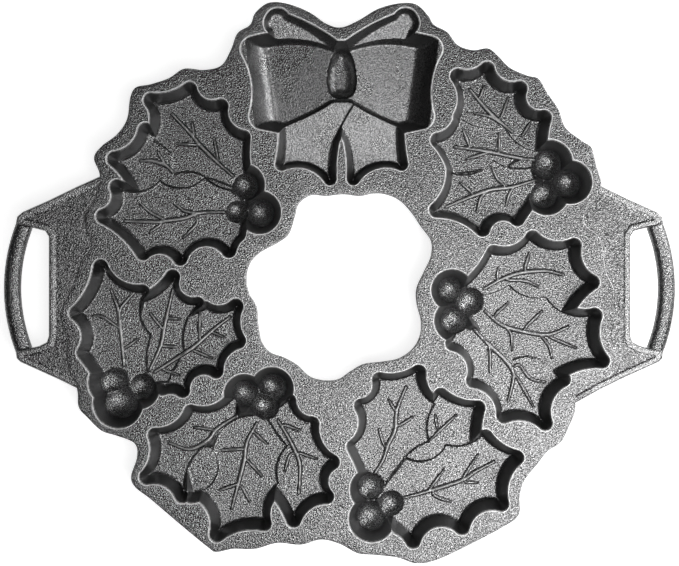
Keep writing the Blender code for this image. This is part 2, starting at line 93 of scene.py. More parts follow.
def arc(start, end, bite, spacing):
    """Points from start up to, but not on, end along a circle that bows by bite to the left.

    Half the chord and the bite give the radius: their squares' sum over twice the bite.
    """
    chord = end - start
    length = np.linalg.norm(chord)
    count = max(2, int(math.ceil(length / spacing)))
    t = np.arange(count) / count
    if abs(bite) < STRAIGHT:
        return start + t[:, None] * chord
    half = length / 2
    radius = (half**2 + bite**2) / (2 * abs(bite))
    sweep = 2 * math.asin(min(half / radius, 1.0))
    angle = (t - 0.5) * sweep
    along = radius * np.sin(angle)
    rise = radius * (np.cos(angle) - math.cos(sweep / 2)) * math.copysign(1, bite)
    forward = chord / length
    return (start + end) / 2 + along[:, None] * forward - rise[:, None] * right_of(forward)


def leaf_outline(rim, steps, taper):
    """A leaf's outline at its floor, from its tips at the rim and the points of its hidden or step side.

    A rim tip stands a taper outside the floor's sharp tip, along the corner's bisector. A point of the
    step side is given on the floor itself. The third number is the bite of the edge that follows.
    """
    corners = [(x, y, bite, True) for x, y, bite in rim] + [(x, y, bite, False) for x, y, bite in steps]
    ahead = corners[1:] + corners[:1]
    if sum(a[0] * b[1] - b[0] * a[1] for a, b in zip(corners, ahead)) < 0:
        bites = [corner[2] for corner in reversed(corners)]
        bites = bites[1:] + bites[:1]
        corners = [(c[0], c[1], bite, c[3]) for c, bite in zip(reversed(corners), bites)]
    at_rim = np.array([corner[:2] for corner in corners]) * MM
    bites = np.array([corner[2] for corner in corners]) * MM
    on_rim = np.array([corner[3] for corner in corners])
    sides = unit(np.roll(at_rim, -1, 0) - at_rim)
    bisectors = unit(right_of(np.roll(sides, 1, 0)) + right_of(sides))
    tips = at_rim - (taper * on_rim)[:, None] * bisectors
    points = []
    for i in range(len(corners)):
        j = (i + 1) % len(corners)
        bite = bites[i]
        if on_rim[i] and on_rim[j]:
            middle = (at_rim[i] + at_rim[j]) / 2 - (bite + taper) * right_of(sides[i])
            bite = np.dot((tips[i] + tips[j]) / 2 - middle, right_of(unit(tips[j] - tips[i])))
        points.append(arc(tips[i], tips[j], bite, OUTLINE_SPACING))
    return np.concatenate(points)


def curve_through(points, spacing, closed=False):
    """A smooth curve through the points, as cubics whose ends follow their neighbours."""
    points = np.array(points, float)
    if closed:
        before, start, end, after = (np.roll(points, k, 0) for k in (1, 0, -1, -2))
    else:
        padded = np.concatenate((2 * points[:1] - points[1:2], points, 2 * points[-1:] - points[-2:-1]))
        before, start, end, after = padded[:-3], padded[1:-2], padded[2:-1], padded[3:]
    spans = []
    for a, b, c, d in zip(before, start, end, after):
        count = max(2, int(math.ceil(np.linalg.norm(c - b) / spacing)))
        t = (np.arange(count) / count)[:, None]
        spans.append(0.5 * (2 * b + (c - a) * t + (2 * a - 5 * b + 4 * c - d) * t**2
                            + (3 * b - a - 3 * c + d) * t**3))
    if not closed:
        spans.append(points[-1:])
    return np.concatenate(spans)


def circle(x, y, radius, segments=96):
    """A closed outline in metres round a middle and radius in millimetres."""
    angles = np.arange(segments) * 2 * math.pi / segments
    return np.stack((x + radius * np.cos(angles), y + radius * np.sin(angles)), 1) * MM


def distance(points, loop):
    """Signed distance of each point from a closed outline, negative inside.

    It is the least distance to any side. A point is inside when a ray to its right crosses an odd number
    of sides.
    """
    x, y = points[:, 0], points[:, 1]
    nearest = np.full(len(points), FAR)
    inside = np.zeros(len(points), bool)
    for (ax, ay), (bx, by) in zip(loop, np.roll(loop, -1, 0)):
        dx, dy = bx - ax, by - ay
        t = np.clip(((x - ax) * dx + (y - ay) * dy) / (dx * dx + dy * dy + TINY), 0, 1)
        nearest = np.minimum(nearest, (x - ax - t * dx) ** 2 + (y - ay - t * dy) ** 2)
        if ay != by:
            crossed = (ay > y) != (by > y)
            inside ^= crossed & (x < ax + (y - ay) * dx / dy)
    return np.where(inside, -1, 1) * np.sqrt(nearest)


def along_path(points, path):
    """Distance of each point from an open path, and how far along the path, from 0 to 1, its foot is."""
    x, y = points[:, 0], points[:, 1]
    steps = np.linalg.norm(np.diff(path, axis=0), axis=1)
    ends = np.concatenate(((0,), np.cumsum(steps))) / steps.sum()
    nearest = np.full(len(points), FAR)
    share = np.zeros(len(points))
    for (ax, ay), (bx, by), first, last in zip(path, path[1:], ends, ends[1:]):
        dx, dy = bx - ax, by - ay
        t = np.clip(((x - ax) * dx + (y - ay) * dy) / (dx * dx + dy * dy + TINY), 0, 1)
        away = (x - ax - t * dx) ** 2 + (y - ay - t * dy) ** 2
        closer = away < nearest
        nearest = np.where(closer, away, nearest)
        share = np.where(closer, first + t * (last - first), share)
    return np.sqrt(nearest), share


def blend_max(a, b, reach):
    """The larger of two values, with the change from one to the other rounded over a reach."""
    overlap = np.maximum(reach - np.abs(a - b), 0) / reach
    return np.maximum(a, b) + overlap**2 * reach / 4


def blend_min(a, b, reach):
    """The smaller of two values, rounded in the same way."""
    return -blend_max(-a, -b, reach)


def ramp(value, low, high):
    """0 below low, 1 above high and smooth between: three times the square less twice the cube."""
    t = np.clip((value - low) / (high - low), 0, 1)
    return t * t * (3 - 2 * t)


def level_rise(points):
    """No rise: a floor that lies flat."""
    return np.zeros(len(points))


# The iron below and around a cup
SHELL_WALL = 0.0024
SHELL_FLOOR = 0.0032
SHELL_FOOT = 0.0040
SEAT_SHARE = 0.60
SEAT_SLOPE = 1.9
SEAT_FOOT = 0.0020

# How far the parts of a cup round into each other
LEAF_BLEND = 0.0005
SHELL_BLEND = 0.0006
PIT_BLEND = 0.0004
SEAT_BLEND = 0.0010
PIT_BRINK = 0.0002
BOWL_ROUND = 2.3
BOWL_FULL = 0.8

# Veins stand up from the leaf floors
VEIN_HEIGHT = 0.0015
MIDRIB_POINTS = 4
MIDRIB_WIDTH = 0.0026
SIDE_VEIN_WIDTH = 0.0020
VEIN_SPACING = 0.0006
VEIN_JOIN = 0.0060
VEIN_REACH = 0.0030
VEIN_ENDS = 0.62
VEIN_SLIM = 1.8
VEIN_CROWN = 2.4
VEIN_FLOORS = (0.010, 0.012)
VEIN_LEVELS = (LEAF_DEPTH - 0.004, 0.0192)
# Strength of the painted highlight on the vein crowns.
VEIN_GLINT = 0.25

Leaf = namedtuple("Leaf", "outline depth taper foot rise end")
Pit = namedtuple("Pit", "outline depth drop reach taper")
cups = []


class Cup:
    """Depth fields of one cup, inside and outside, from its parts: leaves or bow parts, and round pits.

    smooth is how far its floors are dressed like its walls, from 0 to 1.
    """

    def __init__(self, name, smooth=0.0):
        self.name = name
        self.smooth = smooth
        self.leaves = []
        self.pits = []
        self.veins = ()
        cups.append(self)

    def leaf(self, level, rim, steps, depth=LEAF_DEPTH, taper=LEAF_TAPER, foot=FOOT_ROUND, rise=level_rise,
             cove=0.0):
        """Adds a part by its outline: foot rounds the wall's foot, and cove that of its first edge's wall."""
        depth += level * LEAF_STEP
        outline = leaf_outline(rim, steps, taper)
        end = None
        if cove:
            start, stop = (np.array(corner[:2]) * MM for corner in rim[:2])
            outwards = right_of(unit(stop - start))
            if np.dot(outline.mean(0) - start, outwards) > 0:
                outwards = -outwards
            end = (start, outwards, cove)
        self.leaves.append(Leaf(outline, depth, taper, foot, rise, end))

    def berry(self, x, y, radius):
        """Adds a round pit that goes on down from the leaf floor."""
        self.pits.append(Pit(circle(x, y, radius), LEAF_DEPTH, PIT_DROP, radius * MM, LEAF_TAPER))

    def rim(self, points):
        """Signed distance from the rim line of the whole cup, negative inside."""
        nearest = np.full(len(points), FAR)
        for part in self.leaves + self.pits:
            nearest = np.minimum(nearest, distance(points, part.outline) - part.taper)
        return nearest

    def lines(self, points):
        """The edges that nodes snap to: the rim, then the brink of each pit and the foot of each wall."""
        return [self.rim(points)] + [distance(points, part.outline) for part in self.pits + self.leaves]

    def box(self):
        """The corners of the rectangle that the cup's piece lies in."""
        every = np.concatenate([part.outline for part in self.leaves + self.pits])
        reach = max(leaf.taper for leaf in self.leaves) + 0.004
        return every.min(0) - reach, every.max(0) + reach

    def ridge(self, points):
        """Height of the veins: a rounded ridge over the distance from each path, slimmer at its ends.

        A side vein is drawn on to the nearest point of the midrib that comes before it in the list.
        """
        ridge = np.zeros(len(points))
        midrib = None
        for path in self.veins:
            path = on_floor(path)
            width = SIDE_VEIN_WIDTH
            if len(path) >= MIDRIB_POINTS:
                width = MIDRIB_WIDTH
                midrib = curve_through(path, VEIN_SPACING)
            elif midrib is not None:
                gaps = np.linalg.norm(path[[0, -1], None] - midrib, axis=2)
                if gaps.min() < VEIN_JOIN:
                    end, foot = np.unravel_index(gaps.argmin(), gaps.shape)
                    joined = midrib[foot:foot + 1]
                    path = np.concatenate((path, joined) if end else (joined, path))
            path = curve_through(path, VEIN_SPACING)
            low, high = path.min(0) - VEIN_REACH, path.max(0) + VEIN_REACH
            near = ((points > low) & (points < high)).all(1)
            away, share = along_path(points[near], path)
            swell = np.sin(math.pi * np.clip(share, 0.08, 0.92))
            width = width * (VEIN_ENDS + (1 - VEIN_ENDS) * swell)
            height = VEIN_HEIGHT * np.clip(1 - (away / width * VEIN_SLIM) ** VEIN_CROWN, 0, 1)
            ridge[near] = np.maximum(ridge[near], height)
        return ridge

    def fields(self, points):
        """Inside depth, outside depth and the masks of the material at each point.

        Inside a part the depth is the lesser of its floor and its wall, which falls from the rim by depth
        over taper. The cup is the deepest of its parts. A pit's bowl is rounded off from its brink, and
        the rim's corner is rounded where the depth leaves zero. The outside is the inside moved out.
        """
        rim = np.full(len(points), FAR)
        inner = np.full(len(points), -1.0)
        outer = np.full(len(points), WEB)
        floors = np.zeros(len(points))
        level = np.zeros(len(points))
        for outline, depth, taper, foot, rise, end in self.leaves:
            away = distance(points, outline)
            floor = depth - rise(points)
            slope = depth / taper
            if end:
                start, outwards, cove = end
                floor = blend_min(floor, (start - points) @ outwards * slope, cove * slope)
            side = (taper - away) * slope
            rim = np.minimum(rim, away - taper)
            inner = blend_max(inner, blend_min(side, floor, foot * slope), LEAF_BLEND)
            outside = blend_min(side + SHELL_WALL * slope, floor + SHELL_FLOOR, SHELL_FOOT)
            outer = blend_max(outer, outside, SHELL_BLEND)
            floors = np.maximum(floors, np.where(side > floor - 0.0012, floor, 0))
            level = np.maximum(level, ramp(side - floor, -0.0040, 0.0010))
        for outline, depth, drop, reach, taper in self.pits:
            away = distance(points, outline)
            inward = np.clip(-away / reach, 0, 1)
            bowl = depth + drop * (1 - (1 - inward) ** BOWL_ROUND) ** BOWL_FULL
            found = np.where(away > 0, depth * (1 - away / taper), bowl)
            rim = np.minimum(rim, away - taper)
            inner = blend_max(inner, found, PIT_BLEND)
            outside = depth - (away - SHELL_WALL) * depth / taper
            seat = away + reach * (1 - SEAT_SHARE)
            boss = TOP - np.maximum(seat, 0) * SEAT_SLOPE
            outer = blend_max(outer, blend_min(outside, boss, SEAT_FOOT), SEAT_BLEND)
            floors = np.maximum(floors, np.where(away < PIT_BRINK, found, 0))
            level = np.maximum(level, ramp(-away, -0.0008, PIT_BRINK))
        rounded = np.maximum(blend_max(inner, 0, RIM_ROUND) - RIM_ROUND / 4, 0)
        inner = np.where(rim > RIM_ROUND / 2, 0, rounded)
        low, high = VEIN_LEVELS
        ridge = self.ridge(points) * ramp(floors, *VEIN_FLOORS) * (inner > low) * (inner < high)
        inner = inner - ridge
        wall = ramp(inner, 0.0012, 0.0030) * np.maximum(1 - level, self.smooth)
        # A thin line along the rim gets the edge mask: a painted highlight that is partly rubbed wear.
        edge = ramp(-np.abs(rim + 0.0001), -0.0006, -0.0001)
        # Vein crowns get a fainter painted highlight through the same mask.
        edge = np.maximum(edge, VEIN_GLINT * ramp(ridge, 0.0007, 0.0012))
        return inner, np.minimum(outer, TOP), {"wall": wall, "edge": edge}


# Upper left cup: three holly leaves fan out to the left of three berries. The lowest leaf lies over
# the others, so in the pan it is sunk deepest. Floors keep the sand's grain, walls are smooth.
UPPER_LEFT_VEINS = (
    ((172, 114), (190, 133), (200, 145), (215, 160), (233, 176)),
    ((192, 122), (194, 135)), ((179, 144), (198, 145)), ((214, 138), (218, 160)),
    ((141, 161), (152, 161), (165, 165), (173, 172)), ((158, 152), (165, 164)),
    ((125, 221), (155, 222), (165, 221), (185, 218), (200, 213), (224, 212)),
    ((140, 203), (150, 212), (165, 220)), ((174, 203), (185, 211), (200, 213)),
    ((150, 232), (160, 225)), ((183, 238), (197, 223)),
)
cup = Cup("holly_cup_upper_left")
cup.leaf(0, rim=((-122.2, 50.9, 0.6), (-138.2, 74.0, 3.0), (-115.7, 95.3, 0)),
         steps=((-62.0, 66.0, 0), (-62.0, 50.0, 0)))
cup.leaf(1, rim=((-116.9, 83.4, 3.5), (-115.7, 111.2, 1.8), (-88.5, 119.5, 4.7), (-67.2, 108.3, 4.7),
                 (-52.6, 87.6, 0.6), (-51.8, 60.9, 0)),
         steps=((-58.0, 55.0, 0), (-81.7, 64.0, 2.4), (-100.4, 64.5, 0.3), (-101.5, 77.5, 0.6)))
cup.leaf(2, rim=((-55.3, 27.8, 0.6), (-63.0, 15.4, 8.9), (-94.4, 10.0, 5.3), (-118.6, 13.6, 1.8),
                 (-144.7, 38.5, 3.6), (-134.6, 60.9, 4.2)),
         steps=((-108.2, 62.1, 5.6), (-81.1, 63.9, 1.5), (-64.8, 56.1, 0), (-56.0, 48.0, 0)))
cup.berry(-56.8, 58.2, 8.0)
cup.berry(-62.0, 43.1, 7.4)
cup.berry(-47.5, 41.9, 8.3)
cup.veins = UPPER_LEFT_VEINS

# Upper right cup: three leaves point left from a cluster of berries at the ring's outer edge. It is
# cast like the others, with its middle leaf between the floors of the other two.
UPPER_RIGHT_VEINS = (
    ((470, 90), (487, 110), (500, 122), (512, 132)), ((484, 87), (480, 97)), ((508, 98), (502, 115)),
    ((474, 113), (490, 117), (503, 125)), ((530, 123), (522, 136)),
    ((455, 147), (485, 151), (513, 157), (535, 160)), ((467, 159), (490, 152)),
    ((463, 130), (469, 145)), ((499, 133), (499, 150)),
    ((446, 207), (470, 197), (490, 190), (512, 187), (536, 180)), ((461, 183), (472, 193)),
    ((477, 212), (481, 198), (488, 191)), ((492, 167), (497, 178), (504, 185)),
    ((506, 206), (509, 195), (514, 187)),
)
cup = Cup("holly_cup_upper_right")
cup.leaf(0, rim=((67.2, 96.4, 3.0), (66.0, 125.4, 1.8), (87.9, 131.4, 4.7), (109.8, 118.9, 6.5),
                 (125.7, 99.4, 0.6), (123.4, 78.7, 0)),
         steps=((118.0, 66.0, 0), (100.0, 66.0, 0), (75.0, 88.0, 0)))
cup.leaf(1, rim=((66.6, 60.9, 0.6), (53.5, 85.2, 2.7), (71.3, 104.7, 3.3)),
         steps=((99.8, 94.7, 4.7), (123.9, 79.6, 0), (118.0, 72.0, 3.2), (101.6, 69.5, 0)))
cup.leaf(2, rim=((115.7, 45.0, 0), (108.0, 34.3, 5.9), (84.3, 27.2, 2.1), (53.0, 41.4, 1.8),
                 (64.8, 70.4, 4.6)),
         steps=((92.6, 74.8, 2.8), (115.5, 69.9, 0), (119.0, 60.0, 0)))
cup.berry(124.5, 71.2, 9.0)
cup.berry(136.6, 59.7, 8.4)
cup.berry(122.7, 53.1, 8.4)
cup.veins = UPPER_RIGHT_VEINS

# Right cup: the berries sit towards the centre hole. The middle leaf lies over the other two, and its
# tips reach out between theirs. Cast like the others.
RIGHT_VEINS = (
    ((484, 289), (500, 280), (520, 273), (545, 271), (563, 275)), ((498, 268), (497, 278)),
    ((529, 253), (525, 267)), ((508, 280), (525, 281), (539, 287)),
    ((485, 311), (502, 325), (530, 333), (550, 334), (568, 327)), ((550, 337), (576, 348)),
    ((508, 303), (497, 313)), ((542, 311), (526, 327)), ((512, 350), (511, 335), (506, 327)),
    ((552, 358), (549, 346), (541, 336)),
    ((472, 327), (487, 343), (503, 358), (512, 370), (513, 380), (508, 401)),
    ((488, 343), (490, 355), (490, 372)), ((517, 378), (533, 406)),
    ((519, 365), (530, 378), (545, 382)),
)
cup = Cup("holly_cup_right")
cup.leaf(0, rim=((68.3, -4.1, 1.2), (88.5, 21.9, 4.1), (113.9, 31.4, 3.6), (141.7, 26.0, 3.3),
                 (154.1, -0.6, 1.8)),
         steps=((134.0, -18.0, 0), (80.0, -19.0, 0)))
cup.leaf(1, rim=((154.7, -16.0, 2.7), (159.5, -48.5, 1.8), (128.1, -58.6, 5.2)),
         steps=((104.0, -47.0, 2.6), (84.7, -34.4, 2.0), (79.3, -21.1, 0), (82.0, -7.5, 1.5),
                (102.2, -0.6, 3.5), (124.5, -7.8, 4.9)))
cup.leaf(0, rim=((137.0, -56.2, 4.4), (124.0, -87.0, 3.0), (95.0, -82.8, 5.3), (75.4, -60.4, 5.3),
                 (62.4, -34.9, 0)),
         steps=((72.0, -26.0, 0), (118.0, -36.0, 0)))
cup.berry(66.6, -4.2, 7.8)
cup.berry(78.7, -10.9, 8.4)
cup.berry(69.0, -22.3, 8.4)
cup.veins = RIGHT_VEINS

# Lower right cup: the berries are at its lower left, and the longest leaf runs along the ring's outer
# edge, over the other two. Cast like the others.
LOWER_RIGHT_VEINS = (
    ((375, 473), (383, 460), (388, 445), (395, 430), (397, 410), (406, 387)),
    ((379, 429), (384, 445)), ((389, 400), (395, 410)), ((413, 417), (400, 425)),
    ((430, 440), (440, 430), (456, 415)), ((435, 415), (437, 428)),
    ((404, 498), (433, 490), (463, 480), (475, 472), (494, 462)), ((444, 470), (430, 489)),
    ((478, 455), (463, 478)), ((451, 502), (435, 496)), ((478, 483), (466, 482)),
)
cup = Cup("holly_cup_lower_right")
cup.leaf(1, rim=((63.0, -72.2, 3.0), (48.8, -48.5, 1.8), (21.0, -53.3, 4.1), (8.6, -71.0, 4.7),
                 (3.8, -97.6, 0), (12.1, -115.4, 0)),
         steps=((28.0, -121.0, 0), (40.1, -104.9, 1.3), (54.6, -95.8, 3.2)))
cup.leaf(0, rim=((83.1, -98.8, 0), (85.8, -71.4, 1.2), (58.3, -62.1, 0)),
         steps=((35.0, -100.0, 0), (35.0, -118.0, 0)))
cup.leaf(2, rim=((86.7, -86.4, 1.2), (109.2, -101.8, 3.6), (99.7, -133.7, 5.9), (74.3, -149.1, 8.3),
                 (42.3, -157.4, 0.6), (31.1, -147.3, 0)),
         steps=((23.0, -128.0, 0), (29.2, -119.4, 0.3), (40.1, -104.9, 5.7), (64.2, -97.1, 3.3)))
cup.berry(19.0, -122.4, 8.4)
cup.berry(31.1, -132.7, 8.4)
cup.berry(19.0, -139.9, 9.0)
cup.veins = LOWER_RIGHT_VEINS

# Lower left cup: berries at the top by the centre hole, and a leaf each way with one between on top.
# A scrap of ground shows between the left leaf and the middle one, a little less deep than both.
LOWER_LEFT_VEINS = (
    ((257, 423), (247, 442), (244, 462), (238, 485), (232, 508)), ((267, 444), (255, 433)),
    ((262, 476), (247, 460)), ((250, 502), (242, 487)), ((222, 450), (243, 449)),
    ((220, 490), (238, 484)),
    ((278, 420), (290, 440), (299, 460), (300, 475), (299, 493)), ((300, 430), (285, 425)),
    ((317, 459), (300, 453)), ((285, 470), (290, 455)),
    ((170, 443), (190, 449), (208, 440), (218, 428), (240, 414)), ((195, 427), (215, 430)),
)
cup = Cup("holly_cup_lower_left")
cup.leaf(-1, rim=(), steps=((-95.0, -98.0, 0), (-68.0, -98.0, 0), (-68.0, -122.0, 0), (-88.0, -126.0, 0)))
cup.leaf(0, rim=((-57.7, -59.8, 4.7), (-90.2, -72.2, 3.8), (-113.3, -87.6, 3.0),
                 (-118.6, -117.2, 3.0), (-91.4, -130.2, 2.8)),
         steps=((-84.1, -100.7, 0.5), (-62.0, -84.0, 0)))
cup.leaf(1, rim=((-87.3, -124.9, 3.6), (-74.9, -153.3, 2.4), (-41.7, -146.1, 3.6),
                 (-31.7, -121.9, 3.5)),
         steps=((-31.1, -98.3, 0.5), (-41.9, -83.2, 0), (-47.0, -78.5, 0), (-54.0, -79.6, -5.5),
                (-76.3, -100.7, 5.8)))
cup.leaf(0, rim=((-44.7, -122.5, 0.6), (-28.1, -145.0, 3.0), (-3.8, -129.0, 4.7),
                 (0.3, -105.3, 3.8), (-12.7, -80.5, 3.0), (-30.5, -65.1, 0)),
         steps=((-45.0, -82.0, 0), (-47.0, -112.0, 0)))
cup.berry(-56.4, -66.3, 7.8)
cup.berry(-40.1, -62.7, 8.4)
cup.berry(-44.9, -74.2, 8.4)
cup.veins = LOWER_LEFT_VEINS

# Left cup: the berries are at the lower left, and three leaves point up, the left one on top of its
# neighbour. Cast like the others.
LEFT_VEINS = (
    ((111, 290), (118, 310), (121, 335), (124, 365)), ((93, 316), (103, 317), (119, 328)),
    ((134, 293), (121, 308), (120, 320)), ((138, 339), (125, 348)),
    ((173, 290), (166, 320), (161, 345), (150, 370)), ((150, 313), (162, 328)),
    ((180, 319), (168, 318)), ((177, 347), (162, 346)),
    ((230, 317), (213, 330), (195, 346), (180, 356), (155, 372)), ((200, 312), (200, 337)),
    ((224, 337), (212, 332)), ((212, 358), (195, 351)), ((179, 375), (165, 370)),
)
cup = Cup("holly_cup_left")
cup.leaf(0, rim=((-81.4, -10.7, 2.4), (-58.3, -10.1, 1.8), (-55.3, -35.5, 3.6), (-70.1, -55.6, 7.1),
                 (-92.2, -68.2, 1.2), (-108.0, -66.0, 0)),
         steps=((-112.0, -58.0, 0), (-100.0, -36.0, 0), (-95.0, -22.0, 0)))
cup.leaf(1, rim=((-122.2, -8.9, 1.2), (-98.5, 8.3, 5.3), (-79.6, -11.8, 4.4)),
         steps=((-93.0, -42.0, 0.8), (-103.0, -60.0, 0), (-118.0, -60.0, 0), (-124.0, -39.6, 0)))
cup.leaf(2, rim=((-138.8, -66.3, 0), (-155.9, -43.2, 4.7), (-160.6, -17.2, 1.8), (-142.9, 14.2, 3.8),
                 (-112.7, -3.0, 4.8)),
         steps=((-113.1, -31.4, 1.5), (-115.5, -53.7, 0), (-122.0, -62.0, 0)))
cup.berry(-135.4, -59.1, 9.0)
cup.berry(-119.1, -62.1, 8.1)
cup.berry(-131.2, -71.2, 10.3)
cup.veins = LEFT_VEINS

# Bow cup: two front loops over two back loops, two tails and a knot, cast with the ring like the holly.
# The front loops sink away from the knot and turn up into a wide round foot, the back loops rise outwards
# to the rim, and the tails sink towards their tips. Outlines are given from the bow's own axis.
BOW_AXIS = 1.2
BOW_SMOOTH = 0.3
LOOP_TAPER = 0.0080
LOOP_END = 0.0440
LOOP_COVE = 0.0070
LOOP_RISE = 0.0042
LOOP_LEAN = 0.0700
LOOP_LEAN_FROM = 0.0960
BACK_DEPTH = 0.0150
BACK_RISE = 0.0044
BACK_RISE_OUT = 0.0054
BACK_RISE_FROM = 0.1260
BACK_RISE_OVER = 0.0340
FRONT_DEPTH = 0.0174
TAIL_DEPTH = 0.0164
TAIL_TAPER = 0.0042
TAIL_FOOT = 0.0016
TAIL_END = 0.0620
TAIL_RISE = 0.0120
KNOT_MIDDLE = 0.1245
KNOT_DEPTH = 0.0156
KNOT_DROP = 0.0046
KNOT_REACH = 0.0075
KNOT_TAPER = 0.0014
KNOT_SPACING = 0.0010
KNOT_OUTLINE = (
    (-2.5, 139.0), (-6.4, 133.0), (-8.2, 125.0), (-8.2, 118.0), (-6.0, 112.5), (0.3, 110.5),
    (6.4, 112.5), (8.6, 118.0), (8.6, 125.0), (7.0, 133.0), (3.5, 139.0),
)


def mirrored(corners, side):
    """Corners on one side of the bow, from its axis: side is 1 or -1."""
    return tuple((BOW_AXIS + side * x, y, bite) for x, y, bite in corners)


def front_rise(points):
    """How far a front loop's floor stands above its depth: most at the knot, and a little at the back."""
    share = np.abs(points[:, 0] - BOW_AXIS * MM) / LOOP_END
    lean = LOOP_LEAN * np.clip(points[:, 1] - LOOP_LEAN_FROM, 0, 1)
    return LOOP_RISE * np.clip(1 - share, 0, 1) ** 1.2 + lean


def back_rise(points):
    """A back loop's floor rises away from the front loops, faster and faster."""
    share = np.clip((points[:, 1] - BACK_RISE_FROM) / BACK_RISE_OVER, 0, 1.2)
    return BACK_RISE + BACK_RISE_OUT * share**1.2


def tail_rise(points):
    """A tail's floor rises from its tip to the knot, faster and faster."""
    return TAIL_RISE * np.clip((points[:, 1] - TAIL_END) / (KNOT_MIDDLE - TAIL_END), 0, 1) ** 1.5


cup = Cup("bow_cup", BOW_SMOOTH)
for side in (1, -1):
    cup.leaf(0, mirrored(((-45.5, 157.5, 0), (-36.0, 161.2, -1.5)), side),
             mirrored(((-5.0, 136.0, 0), (0.0, 128.0, 0), (-28.0, 130.0, 0), (-33.5, 141.0, 0)), side),
             BACK_DEPTH, LOOP_TAPER, rise=back_rise)
    cup.leaf(0, mirrored(((-57.6, 144.3, 1.2), (-51.8, 92.2, 0)), side),
             mirrored(((-34.1, 96.0, -0.8), (-6.9, 111.0, 0), (2.0, 112.0, 0), (2.0, 136.0, 0),
                       (-5.1, 135.8, -4.1)), side),
             FRONT_DEPTH, LOOP_TAPER, rise=front_rise, cove=LOOP_COVE)
tail_rim = ((-36.5, 101.0, 0), (-38.9, 68.0, 4.3), (-4.6, 58.2, 0), (-0.9, 84.0, 0))
for side, level, tail_steps in (
    (1, 1, ((2.1, 99.5, 0), (8.1, 110.3, 0), (-10.0, 113.0, 0))),
    (-1, 0, ((1.0, 97.0, 0), (1.0, 112.0, 0), (-10.0, 113.0, 0))),
):
    cup.leaf(level, mirrored(tail_rim, side), mirrored(tail_steps, side), TAIL_DEPTH, TAIL_TAPER, TAIL_FOOT,
             tail_rise)
knot = np.array([(BOW_AXIS + x, y) for x, y in KNOT_OUTLINE]) * MM
knot = curve_through(knot, KNOT_SPACING, closed=True)
cup.pits.append(Pit(knot, KNOT_DEPTH, KNOT_DROP, KNOT_REACH, KNOT_TAPER))

# Cup pieces: each is one closed shell of the casting, whose upper side is the cup and a strip of the
# ring round it, and whose lower side is the tapered wall with the round bosses that the pan stands on.
GRID = 0.0005
EDGE_SNAP = 0.72
LINE_SNAP = 0.45
LEAST_AREA = 0.02
SHARP_ANGLE = 38
SEAM_REACH = 0.0017
SEAM_SPACE = 0.0002
SEAM_NEAR = 0.0040


def new_piece(name, points, faces, masks):
    """One closed mesh object at the origin, smooth but for its sharp edges, with named vertex masks."""
    mesh = bpy.data.meshes.new(name)
    mesh.vertices.add(len(points))
    mesh.vertices.foreach_set("co", np.asarray(points, np.float32).ravel())
    faces = np.asarray(faces, np.int32)
    mesh.loops.add(faces.size)
    mesh.loops.foreach_set("vertex_index", faces.ravel())
    mesh.polygons.add(len(faces))
    mesh.polygons.foreach_set("loop_start", np.arange(len(faces), dtype=np.int32) * faces.shape[1])
    mesh.update(calc_edges=True)
    for key, values in masks.items():
        mask = mesh.attributes.new(key, "FLOAT", "POINT")
        mask.data.foreach_set("value", np.asarray(values, np.float32))
    mesh.shade_smooth()
    mesh.set_sharp_from_angle(angle=math.radians(SHARP_ANGLE))
    piece = bpy.data.objects.new(name, mesh)
    bpy.context.collection.objects.link(piece)
    return piece


def slope_of(field, step):
    """Unit direction in which a field on the grid rises fastest."""
    down, across = np.gradient(field, step)
    return unit(np.stack((across, down), -1))


def boundary_loops(triangles):
    """The closed chains of edges that only one triangle uses, the longest first."""
    edges = np.concatenate((triangles[:, :2], triangles[:, 1:], triangles[:, ::-2]))
    keys = edges[:, 0].astype(np.int64) * (edges.max() + 1) + edges[:, 1]
    back = edges[:, 1].astype(np.int64) * (edges.max() + 1) + edges[:, 0]
    ahead = {}
    for start, end in edges[~np.isin(keys, back)]:
        ahead.setdefault(int(start), []).append(int(end))
    loops = []
    while ahead:
        start = next(iter(ahead))
        loop = [start]
        while True:
            nexts = ahead[loop[-1]]
            following = nexts.pop()
            if not nexts:
                del ahead[loop[-1]]
            if following == start:
                break
            loop.append(following)
        loops.append(np.array(loop))
    return sorted(loops, key=len, reverse=True)


